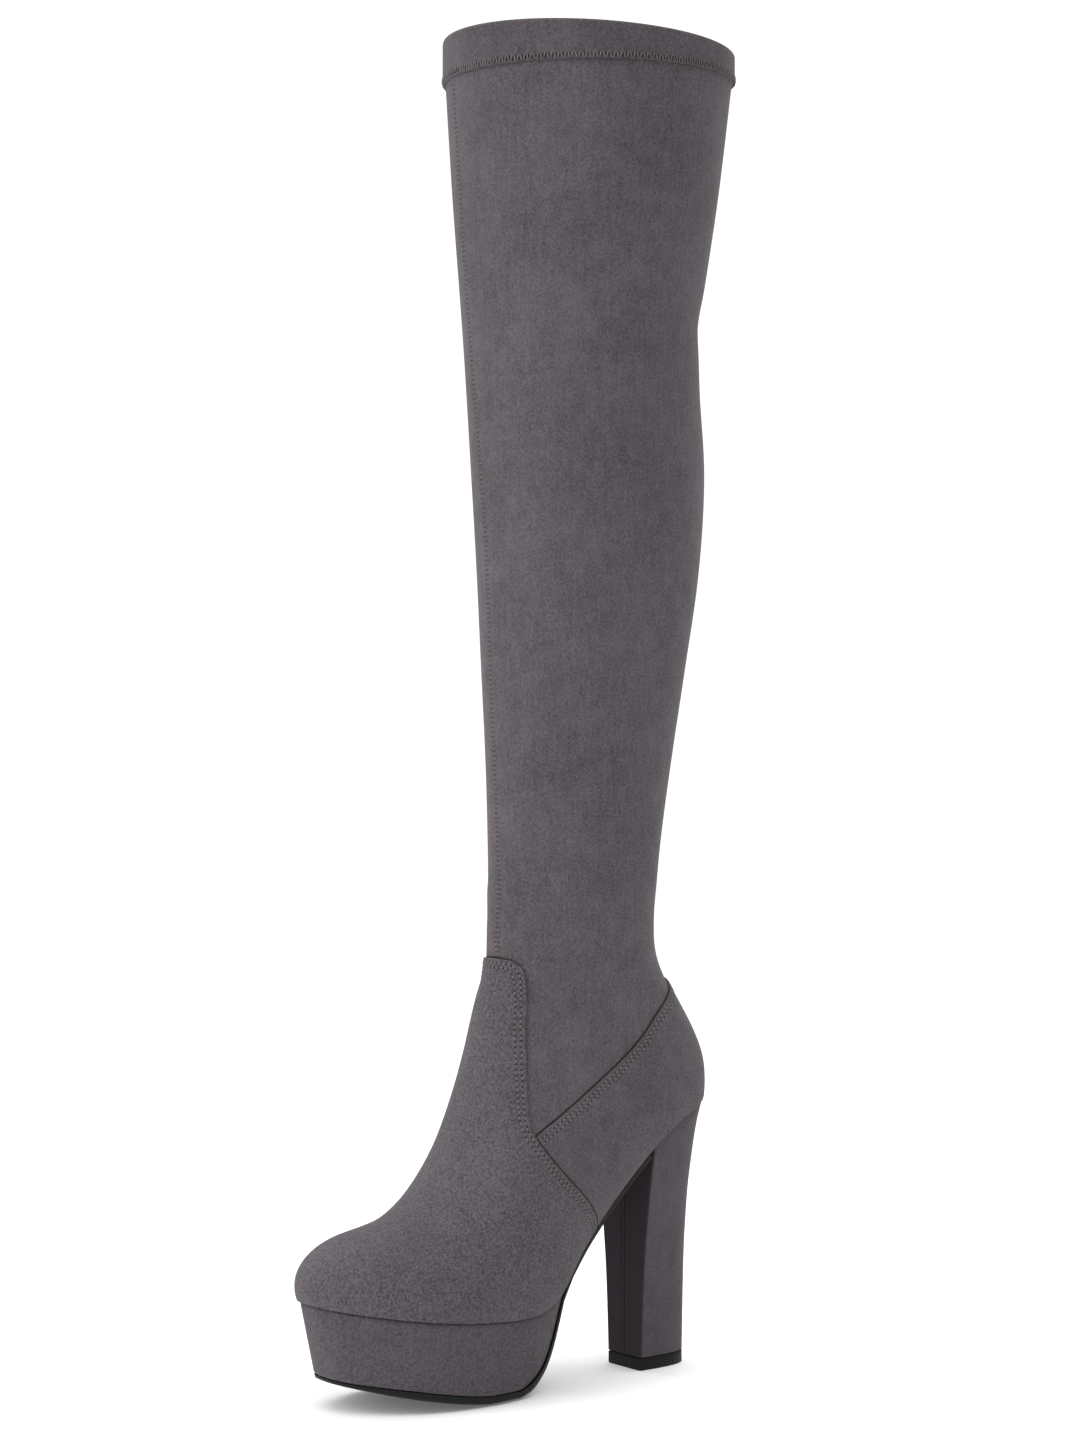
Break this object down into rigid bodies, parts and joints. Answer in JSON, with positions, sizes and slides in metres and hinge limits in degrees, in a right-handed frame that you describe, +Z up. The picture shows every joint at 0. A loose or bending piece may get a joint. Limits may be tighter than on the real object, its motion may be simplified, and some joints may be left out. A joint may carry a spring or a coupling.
{
  "type": "thigh high boot",
  "caption": "Left thigh-high platform boot in dark microsuede, with a stretch shaft, a stitched vamp and counter, and a tall covered block heel.",
  "frame": {"origin": "on the floor, in the middle of the flat tread under the ball of the foot", "axes": "+Z up along the shaft, -Y towards the toe, +X towards the outer (left) side of the foot"},
  "size_m": [0.1318, 0.2268, 0.6293],
  "materials": {
    "suede": "napped stretch microsuede, dark purple grey",
    "panel_suede": "napped microsuede, dark purple grey",
    "sole_suede": "microsuede wrapped tight",
    "sock": "smooth cloth lining",
    "rubber": "matt black"
  },
  "bodies": {
    "root": {"upper": "suede", "vamp": "panel_suede", "heel_counter": "panel_suede", "insole": "sock", "platform": "sole_suede", "heel": "sole_suede", "outsole": "rubber", "heel_tip": "rubber"}
  },
  "joints": []
}
